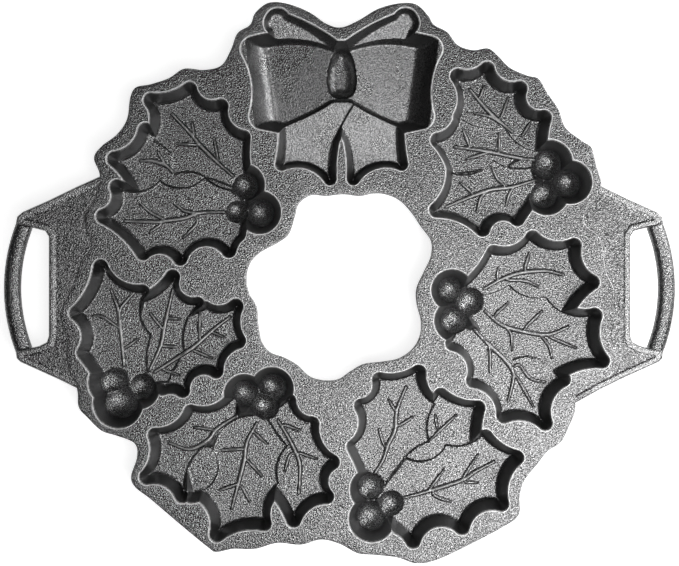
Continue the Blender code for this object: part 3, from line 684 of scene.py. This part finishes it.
def snapped_grid(low, high, step, region, lines):
    """A square grid clipped to where region is negative, with its nodes moved onto the region's edge.

    Nodes close to a zero of one of the lines move onto it too, so that the edge it stands for is crisp.
    Returns the nodes, the triangles and the closed boundary as node numbers, counter-clockwise.
    """
    xs = np.arange(low[0], high[0] + step, step)
    ys = np.arange(low[1], high[1] + step, step)
    shape = (len(ys), len(xs))
    nodes = np.stack(np.meshgrid(xs, ys), -1).reshape(-1, 2)
    edge = region(nodes)
    rise = slope_of(edge.reshape(shape), step).reshape(-1, 2)
    on_edge = np.abs(edge) < EDGE_SNAP * step
    nodes = nodes - np.where(on_edge, edge, 0)[:, None] * rise
    taken = on_edge.copy()
    for line in lines(nodes):
        rise = slope_of(line.reshape(shape), step).reshape(-1, 2)
        near = (np.abs(line) < LINE_SNAP * step) & ~taken & (edge < 0)
        nodes = nodes - np.where(near, line, 0)[:, None] * rise
        taken |= near
    index = np.arange(len(nodes)).reshape(shape)
    a, b = index[:-1, :-1].ravel(), index[:-1, 1:].ravel()
    d, c = index[1:, :-1].ravel(), index[1:, 1:].ravel()
    first = np.linalg.norm(nodes[a] - nodes[c], axis=1) <= np.linalg.norm(nodes[b] - nodes[d], axis=1)
    triangles = np.concatenate((
        np.stack((a, b, np.where(first, c, d)), 1),
        np.stack((np.where(first, a, b), c, d), 1),
    ))
    usable = (edge < 0) | on_edge
    kept = usable[triangles].all(1) & (edge[triangles].mean(1) < 0)
    corner = nodes[triangles]
    one, two = corner[:, 1] - corner[:, 0], corner[:, 2] - corner[:, 0]
    kept &= one[:, 0] * two[:, 1] - one[:, 1] * two[:, 0] > LEAST_AREA * step**2
    triangles = triangles[kept]
    used = np.unique(triangles)
    order = np.full(len(nodes), -1)
    order[used] = np.arange(len(used))
    triangles = order[triangles]
    return nodes[used], triangles, boundary_loops(triangles)


def relief(name, nodes, triangles, loops, top, bottom, masks):
    """A closed solid between two height fields over the same nodes, with a wall round its boundary."""
    count = len(nodes)
    points = np.concatenate((np.column_stack((nodes, top)), np.column_stack((nodes, bottom))))
    faces = [triangles, triangles[:, ::-1] + count]
    for loop in loops:
        after = np.roll(loop, -1)
        faces.append(np.stack((loop, loop + count, after + count), 1))
        faces.append(np.stack((loop, after + count, after), 1))
    doubled = {key: np.concatenate((values, values * 0)) for key, values in masks.items()}
    return new_piece(name, points, np.concatenate(faces), doubled)


def new_node(tree, kind, settings, sockets):
    """A node of a kind: its settings are set first, then the values or links of its sockets."""
    node = tree.nodes.new(kind)
    for key, value in settings.items():
        setattr(node, key, value)
    for key, value in sockets.items():
        plug(tree, node.inputs[key], value)
    return node


def plug(tree, socket, value):
    """Links another node's output to a socket, or sets a plain value or a colour on it."""
    if isinstance(value, Shade):
        tree.links.new(value.socket, socket)
    elif isinstance(value, tuple):
        socket.default_value = (*value, 1.0)
    else:
        socket.default_value = value


class Shade:
    """A number or colour inside a material, so that shader maths reads as plain arithmetic."""

    def __init__(self, tree, socket):
        self.tree = tree
        self.socket = socket

    def _math(self, operation, first, second):
        node = new_node(self.tree, "ShaderNodeMath", {"operation": operation}, {0: first, 1: second})
        return Shade(self.tree, node.outputs[0])

    def __add__(self, other):
        return self._math("ADD", self, other)

    def __radd__(self, other):
        return self._math("ADD", other, self)

    def __sub__(self, other):
        return self._math("SUBTRACT", self, other)

    def __rsub__(self, other):
        return self._math("SUBTRACT", other, self)

    def __mul__(self, other):
        return self._math("MULTIPLY", self, other)

    def __rmul__(self, other):
        return self._math("MULTIPLY", other, self)

    def larger(self, other):
        return self._math("MAXIMUM", self, other)

    def clipped(self):
        return self._math("MINIMUM", self.larger(0.0), 1.0)

    def between(self, low, high):
        """0 where this is low, 1 where it is high, clipped outside."""
        return ((self - low) * (1.0 / (high - low))).clipped()

    def colour(self, dark, light):
        """The colour between dark and light that this number picks."""
        factor, first, second, result = 0, 6, 7, 2
        node = new_node(self.tree, "ShaderNodeMix", {"data_type": "RGBA"},
                        {factor: self, first: dark, second: light})
        return Shade(self.tree, node.outputs[result])


class Maker:
    """Builds one material: its textures in object space, its vertex masks and its surface."""

    def __init__(self, name):
        self.material = bpy.data.materials.new(name)
        self.material.use_nodes = True
        self.tree = self.material.node_tree
        self.surface = self.tree.nodes["Principled BSDF"]

    def output(self, kind, key, settings=None, sockets=None):
        """One output of a new node."""
        node = new_node(self.tree, kind, settings or {}, sockets or {})
        return Shade(self.tree, node.outputs[key])

    def noise(self, size, detail, rough):
        """Noise whose features are about size metres across."""
        place = self.output("ShaderNodeTexCoord", "Object")
        sockets = {"Vector": place, "Scale": 1.0 / size, "Detail": detail, "Roughness": rough}
        return self.output("ShaderNodeTexNoise", 0, None, sockets)

    def mask(self, key):
        """A mask that is stored on the mesh's vertices."""
        return self.output("ShaderNodeAttribute", "Fac", {"attribute_name": key})

    def set(self, key, value):
        plug(self.tree, self.surface.inputs[key], value)

    def bump(self, height, depth):
        """Relief from a height that runs from 0 to 1 over depth metres."""
        self.set("Normal", self.output("ShaderNodeBump", 0, None, {"Distance": depth, "Height": height}))


GRAIN = 0.0009
FINE_GRAIN = 0.0006
GRAIN_DEPTH = 0.00015
PATCH = 0.030
DARK_IRON = (0.012, 0.012, 0.0122)
PALE_IRON = (0.34, 0.34, 0.342)
# Pale colour where the edge mask is set: partly rubbed wear, partly a painted highlight.
RUBBED_AND_HIGHLIGHT_IRON = (0.80, 0.80, 0.80)


def cast_iron(name):
    """Seasoned grey iron from a sand mould: coarse grain, glinting where a grain faces the light.

    Walls are smoother than floors and ring. Edges, vein crowns and handle beads are painted pale and less
    metallic: partly rubbed wear, partly a painted highlight.
    """
    made = Maker(name)
    coarse = made.noise(GRAIN, 1.0, 0.6)
    fine = made.noise(FINE_GRAIN, 1.0, 0.5)
    patches = made.noise(PATCH, 3.0, 0.6)
    wall = made.mask("wall")
    edge = made.mask("edge").clipped()
    grit = 1.0 - wall * 0.9
    sand = (coarse * 0.6 + fine * 0.4).between(0.36, 0.66)
    tone = (0.45 + (sand - 0.5) * 0.8 * grit + (patches - 0.5) * 0.3).clipped()
    # The edge mask paints a highlight, partly rubbed wear, on rims, vein crowns, ring edges and handle beads.
    made.set("Base Color", edge.colour(tone.colour(DARK_IRON, PALE_IRON), RUBBED_AND_HIGHLIGHT_IRON))
    made.set("Metallic", 0.92 - edge * 0.9)
    made.set("Roughness", 0.24 + wall * 0.12 + (patches - 0.5) * 0.06)
    made.bump(sand * grit + patches * 0.2, GRAIN_DEPTH)
    return made.material


def near_cups(cup):
    """The other cups whose boxes touch this one's."""
    low, high = cup.box()
    found = []
    for other in cups:
        other_low, other_high = other.box()
        if other is not cup and (low < other_high).all() and (other_low < high).all():
            found.append(other)
    return found


def seam_of(cup, neighbours):
    """The region of a cup's piece: up to SEAM_REACH outside its rim, or halfway to the next cup's."""

    def region(points):
        own = cup.rim(points)
        inside = own - SEAM_REACH
        close = (own > 0) & (own < SEAM_NEAR)
        others = np.full(close.sum(), 1.0)
        for other in neighbours:
            others = np.minimum(others, other.rim(points[close]))
        inside[close] = np.maximum(inside[close], (own[close] - others) / 2 + SEAM_SPACE)
        return inside

    return region


iron = cast_iron("seasoned_iron")
seams = []
for cup in cups:
    low, high = cup.box()
    nodes, triangles, loops = snapped_grid(low, high, GRID, seam_of(cup, near_cups(cup)), cup.lines)
    inner, outer, masks = cup.fields(nodes)
    outermost = np.unique(np.concatenate(loops))
    inner[outermost] = 0
    outer[outermost] = WEB
    piece = relief(cup.name + "_iron", nodes, triangles, loops, TOP - inner, TOP - outer, masks)
    piece.data.materials.append(iron)
    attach(piece, "root")
    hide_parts(cup.name)
    seams += [nodes[loop] for loop in loops]

# Ring: a flat cast plate with a wavy rim and a wavy centre hole, both with rounded edges. Its top keeps
# the coarse grain of the sand, and its rounded edges carry a painted highlight that is partly rubbed wear.
# The cups' shells fill its holes.
RING_OUTLINE = (
    (1, 151.5), (11, 155.5), (23, 162.5), (36, 165.8), (45.5, 165), (52.5, 158.5), (56, 153),
    (64, 148.5), (70, 141), (79, 138), (88, 139), (94, 134.5), (101, 127.5), (111, 123),
    (118, 121), (123, 113), (130, 102.5), (134, 92), (144, 84), (149.5, 80), (152.5, 69),
    (155.5, 57), (151, 48), (145.5, 41.5), (146, 34.5), (154, 27), (156.5, 18), (158, 7),
    (163, -5), (160.5, -15), (158.5, -24), (160, -35), (165, -45), (165, -51), (159, -56.5),
    (146, -60.5), (140.5, -66), (139.5, -76), (135.5, -86), (131, -94.5), (123.5, -99.5),
    (117, -107.5), (109.5, -117), (106.8, -126), (106, -137.5), (96, -145), (72, -157.5),
    (56, -164.5), (45, -166), (34, -162.5), (20, -161), (10.5, -160), (0, -154.5), (-11, -152),
    (-23, -155), (-37, -154), (-50, -157.5), (-63, -157.5), (-73, -159.3), (-78, -156.5),
    (-95, -142.5), (-112, -128), (-121, -121), (-123.5, -114.5), (-120, -103), (-121.5, -95),
    (-132, -90.5), (-141, -87.5), (-149, -80), (-154.5, -73.5), (-155.5, -63), (-160, -52),
    (-162, -41), (-161.5, -34), (-165.5, -19), (-161, -8), (-156, 4), (-152.5, 14), (-147, 22),
    (-150, 31), (-151, 40), (-145.5, 49), (-142, 63), (-145.5, 74), (-141, 81), (-132, 88),
    (-126, 97), (-124, 110), (-120.5, 116), (-112, 117.8), (-101, 121.5), (-92, 127),
    (-80, 126.3), (-70, 129), (-64.5, 138), (-60.5, 148), (-53, 153), (-50, 160),
    (-42, 166), (-31, 165.5), (-18, 160.5), (-7.5, 153.5),
)
HOLE_OUTLINE = (
    (-16.8, 52), (-8, 51.5), (2, 52.5), (12, 51.5), (20, 53), (28, 52.3), (36, 48.5), (43, 41),
    (48, 33.5), (54, 25), (54, 16), (50, 7), (45.5, -3), (45.5, -12), (48, -22), (47.5, -31),
    (43, -39), (35, -44.5), (25, -46.5), (14, -48), (6, -52.5), (-1, -57), (-10, -57.5),
    (-18, -55), (-25, -48.5), (-33, -44), (-41, -41), (-46, -34.5), (-48, -24), (-49, -14),
    (-53.5, -6), (-55, 3), (-53, 11.5), (-47, 18), (-37, 23.5), (-30, 29), (-26.5, 39),
    (-24, 47),
)
EDGE_ROUND = 0.0008
EDGE_STEPS = 5
EDGE_GLINT = 0.25
FILL_SPACING = 0.004
FILL_REACH = 0.17
FILL_FROM_EDGE = 0.0015
FILL_FROM_SEAM = 0.0012
MERGE_REACH = 1e-7


def counter_clockwise(loop):
    """The loop in the order that gives a positive area."""
    ahead = np.roll(loop, -1, 0)
    area = (loop[:, 0] * ahead[:, 1] - ahead[:, 0] * loop[:, 1]).sum()
    return loop if area > 0 else loop[::-1]


def grown(loop, out):
    """A smooth counter-clockwise loop moved outwards."""
    return loop + out * right_of(unit(np.roll(loop, -1, 0) - np.roll(loop, 1, 0)))


def flat_sheet(loops, fill):
    """Triangles of a flat region between an outer loop and holes, and the node numbers of each loop."""
    points = np.concatenate(loops + [fill])
    firsts = np.cumsum([0] + [len(loop) for loop in loops])
    edges = []
    for first, last in zip(firsts, firsts[1:]):
        row = np.arange(first, last)
        edges += np.stack((row, np.roll(row, -1)), 1).tolist()
    made = geometry.delaunay_2d_cdt([Vector(p) for p in points], edges, [], 0, MERGE_REACH)
    nodes = np.array([tuple(p) for p in made[0]])
    triangles = np.array([face for face in made[2] if len(face) == 3])
    number = np.zeros(len(points), int)
    for new, olds in enumerate(made[3]):
        number[olds] = new
    centres = nodes[triangles].mean(1)
    kept = distance(centres, loops[0]) < 0
    for loop in loops[1:]:
        kept &= distance(centres, loop) > 0
    return nodes, triangles[kept], np.split(number[:firsts[-1]], firsts[1:-1])


def band(first, second):
    """Triangles between two closed rows of node numbers; they face right of the way the rows run."""
    after, second_after = np.roll(first, -1), np.roll(second, -1)
    return np.concatenate((np.stack((first, second, second_after), 1),
                           np.stack((first, second_after, after), 1)))


ring_edge = counter_clockwise(curve_through(np.array(RING_OUTLINE) * MM, OUTLINE_SPACING, closed=True))
hole_edge = counter_clockwise(curve_through(np.array(HOLE_OUTLINE) * MM, OUTLINE_SPACING, closed=True))
top_outer = grown(ring_edge, -EDGE_ROUND)
top_hole = grown(hole_edge, EDGE_ROUND)
across = np.arange(-FILL_REACH, FILL_REACH, FILL_SPACING)
fill = np.stack(np.meshgrid(across, across), -1).reshape(-1, 2)
clear = (distance(fill, top_outer) < -FILL_FROM_EDGE) & (distance(fill, top_hole) > FILL_FROM_EDGE)
for seam in seams:
    clear[clear] = distance(fill[clear], seam) > FILL_FROM_SEAM
loops = [top_outer, top_hole] + [counter_clockwise(seam) for seam in seams]
nodes, triangles, numbers = flat_sheet(loops, fill[clear])
count = len(nodes)
points = [np.column_stack((nodes, np.full(count, TOP))), np.column_stack((nodes, np.full(count, TOP - WEB)))]
faces = [triangles, triangles[:, ::-1] + count]
total = 2 * count
quarter = np.linspace(0, math.pi / 2, EDGE_STEPS + 1)
profile = [(EDGE_ROUND * (math.sin(a) - 1), -EDGE_ROUND * (1 - math.cos(a))) for a in quarter[1:]]
profile += [(EDGE_ROUND * (math.cos(a) - 1), EDGE_ROUND * (1 - math.sin(a)) - WEB) for a in quarter[:-1]]
for edge, outwards, row in ((ring_edge, 1, numbers[0]), (hole_edge, -1, numbers[1])):
    previous = row
    for out, drop in profile:
        ring_row = np.arange(len(edge)) + total
        points.append(np.column_stack((grown(edge, outwards * out), np.full(len(edge), TOP + drop))))
        total += len(edge)
        faces.append(band(previous, ring_row)[:, ::outwards])
        previous = ring_row
    faces.append(band(previous, row + count)[:, ::outwards])
for row in numbers[2:]:
    faces.append(band(row, row + count)[:, ::-1])
points = np.concatenate(points)
points[:, :2] = np.clip(points[:, :2], web_low[:2], web_high[:2])
# The rounded edge rows carry a painted highlight, partly rubbed wear, through the edge mask.
rounded_rows = np.arange(len(points)) >= 2 * count
ring = new_piece("wreath_ring_iron", points, np.concatenate(faces), {"edge": rounded_rows * EDGE_GLINT})
ring.data.materials.append(iron)
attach(ring, "root")
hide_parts("wreath_web")

# Handles: a flat tab with a raised bead along its edges carries a bar that the fingers go round. Both are
# cast with the ring. The bar is rounder and bare, and stands a little lower than the tab.
TAB_OUTLINE = (
    (136, 66.0), (155.3, 57.4), (171.9, 49.3), (187.9, 42.2), (191.2, 39.4), (191.8, 36.0),
    (188.0, 34.0), (183.0, 33.0), (174.5, 30.8), (172.4, 27.5), (172.4, -31.5), (173.5, -35.0),
    (178.0, -37.3), (183.2, -38.5), (188.0, -39.5), (191.8, -41.2), (191.5, -44.6),
    (189.2, -46.9), (166.0, -57.4), (154.1, -63.3), (134, -74.5),
)
TAB_DROP = 0.0006
TAB_THICKNESS = 0.0036
TAB_ROUND = 0.0013
TAB_FALL = 4
BEAD_HEIGHT = 0.0005
BEAD_WIDTH = 0.0044
BEAD_GLINT = 0.15
BEAD_FROM = 0.150
GRIP_DROP = 0.0010
GRIP_WIDTH = 0.0104
GRIP_THICKNESS = 0.0092
GRIP_LENGTH = 0.0780
GRIP_BOW = 0.0078
GRIP_ROUND = 2.3
GRIP_FALL = 0.016
GRIP_BLEND = 0.0012
HANDLE_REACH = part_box("right_handle")[1].x
HANDLE_MIDDLE = -0.0030
HANDLE_TUCK = 0.0006
HANDLE_GRID = 0.0005
HANDLE_MARGIN = 0.008
HANDLE_BELOW = 0.0001


def handle_piece(name, side):
    """A tab and its bar as one closed shell, from its upper and its lower height.

    The tab is flat with a quarter round along its edge. The bar's section is a rounded oval, whose height
    is one less the distance from its path to the power GRIP_ROUND, rooted again.
    """
    half = GRIP_LENGTH / 2
    radius = (half**2 + GRIP_BOW**2) / (2 * GRIP_BOW)
    turns = np.linspace(-1, 1, 60) * math.asin(half / radius)
    path = np.stack((HANDLE_REACH - GRIP_WIDTH / 2 - radius + radius * np.cos(turns),
                     HANDLE_MIDDLE + radius * np.sin(turns)), 1) * (side, 1)
    tab = counter_clockwise(np.array(TAB_OUTLINE) * MM * (side, 1))

    def silhouette(points):
        bar = along_path(points, path)[0] - GRIP_WIDTH / 2
        return np.maximum(np.minimum(distance(points, tab), bar), -distance(points, ring_edge) - HANDLE_TUCK)

    def tab_edge(points):
        return [distance(points, tab)]

    both = np.concatenate((tab, path))
    low, high = both.min(0) - HANDLE_MARGIN, both.max(0) + HANDLE_MARGIN
    nodes, triangles, loops = snapped_grid(low, high, HANDLE_GRID, silhouette, tab_edge)
    inwards = -distance(nodes, tab)
    corner = TAB_ROUND - np.clip(inwards, 0, TAB_ROUND)
    fall = TAB_ROUND - np.sqrt(np.maximum(TAB_ROUND**2 - corner**2, 0))
    fall = fall + np.maximum(-inwards, 0) * TAB_FALL
    bead = BEAD_HEIGHT * ramp(inwards, 0, 0.0008) * (1 - ramp(inwards, BEAD_WIDTH * 0.7, BEAD_WIDTH))
    tab_top = TOP - TAB_DROP + bead - fall
    tab_bottom = TOP - TAB_DROP - TAB_THICKNESS + fall
    away = along_path(nodes, path)[0] / (GRIP_WIDTH / 2)
    level = TOP - TAB_DROP - GRIP_DROP - GRIP_THICKNESS / 2
    oval = (1 - np.clip(away, 0, 1) ** GRIP_ROUND) ** (1 / GRIP_ROUND)
    crown = oval * GRIP_THICKNESS / 2 - np.maximum(away - 1, 0) * GRIP_FALL
    top = np.minimum(blend_max(tab_top, level + crown, GRIP_BLEND), TOP - HANDLE_BELOW)
    bottom = blend_min(tab_bottom, level - crown, GRIP_BLEND)
    crossed = top < bottom
    middle = (top + bottom) / 2
    top, bottom = np.where(crossed, middle, top), np.where(crossed, middle, bottom)
    # The bead crowns on the outer part of each tab carry a painted highlight through the edge mask.
    masks = {"edge": BEAD_GLINT * ramp(bead, 0.0003, 0.0005) * (np.abs(nodes[:, 0]) > BEAD_FROM)}
    return relief(name + "_iron", nodes, triangles, loops, top, bottom, masks)


for side, name in ((-1, "left_handle"), (1, "right_handle")):
    handle = handle_piece(name, side)
    handle.data.materials.append(iron)
    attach(handle, "root")
    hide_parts(name)

# Floor: a wide white sheet that looks plain white to the camera and in reflections and keeps the pan's
# soft shadow.
FLOOR_REACH = 30
FLOOR_WHITE = (0.8, 0.8, 0.8)
FLOOR_GLOW = (0.75, 0.75, 0.75)
FLOOR_ROUGHNESS = 0.9

floor_corners = [(x * FLOOR_REACH, y * FLOOR_REACH, 0) for x, y in ((-1, -1), (1, -1), (1, 1), (-1, 1))]
floor_mesh = bpy.data.meshes.new("floor")
floor_mesh.from_pydata(floor_corners, [], [(0, 1, 2, 3)])
floor = bpy.data.objects.new("floor", floor_mesh)
bpy.context.collection.objects.link(floor)
white = Maker("floor_white")
rays = [white.output("ShaderNodeLightPath", key)
        for key in ("Is Camera Ray", "Is Glossy Ray", "Is Transmission Ray")]
shown = rays[0].larger(rays[1]).larger(rays[2])
white.set("Base Color", FLOOR_WHITE)
white.set("Roughness", FLOOR_ROUGHNESS)
white.set("Emission Color", shown.colour((0.0, 0.0, 0.0), FLOOR_GLOW))
white.set("Emission Strength", 1.0)
floor_mesh.materials.append(white.material)

# Light: a large soft lamp above, a softbox at the lower right that the ring mirrors, and a small low
# lamp at the right that reaches the walls. The world is a dim grey room.
LAMPS = (
    ("key_lower_right", (0.30, -0.25, 0.55), (0.15, -0.10, TOP), 0.35, 0.80, 100),
    ("fill_top", (0.10, -0.10, 1.00), (0.0, 0.0, TOP), 0.50, 3.40, 180),
    ("low_right", (0.45, 0.15, 0.25), (0.0, 0.0, TOP), 0.20, 1.60, 180),
)
ROOM_GREY = (0.05, 0.05, 0.05, 1)


def area_light(name, place, target, size, power, spread):
    """A square softbox of a size in metres at a place, aimed at a target, that spreads over an angle."""
    light = bpy.data.lights.new(name, "AREA")
    light.shape = "SQUARE"
    light.size = size
    light.energy = power
    light.spread = math.radians(spread)
    lamp = bpy.data.objects.new(name, light)
    lamp.location = place
    lamp.rotation_euler = (Vector(target) - Vector(place)).to_track_quat("-Z", "Y").to_euler()
    bpy.context.collection.objects.link(lamp)


for lamp in LAMPS:
    area_light(*lamp)
world = bpy.data.worlds.new("studio")
world.use_nodes = True
world.node_tree.nodes["Background"].inputs["Color"].default_value = ROOM_GREY
bpy.context.scene.world = world

# Camera: straight above the middle of the pan, as in the photo. The lens takes in the photo's width in
# pixels, at its scale on the top of the ring.
PHOTO_WIDTH = 679
SENSOR = 0.036
VIEW_END = 20

lens = bpy.data.cameras.new("photo_view")
lens.sensor_width = SENSOR / MM
lens.lens = SENSOR * CAMERA_RISE / (PHOTO_WIDTH * PHOTO_SCALE) / MM
lens.clip_end = VIEW_END
camera = bpy.data.objects.new("photo_view", lens)
camera.location = (0, 0, TOP + CAMERA_RISE)
bpy.context.collection.objects.link(camera)
scene = bpy.context.scene
scene.camera = camera
scene.view_settings.view_transform = "Standard"
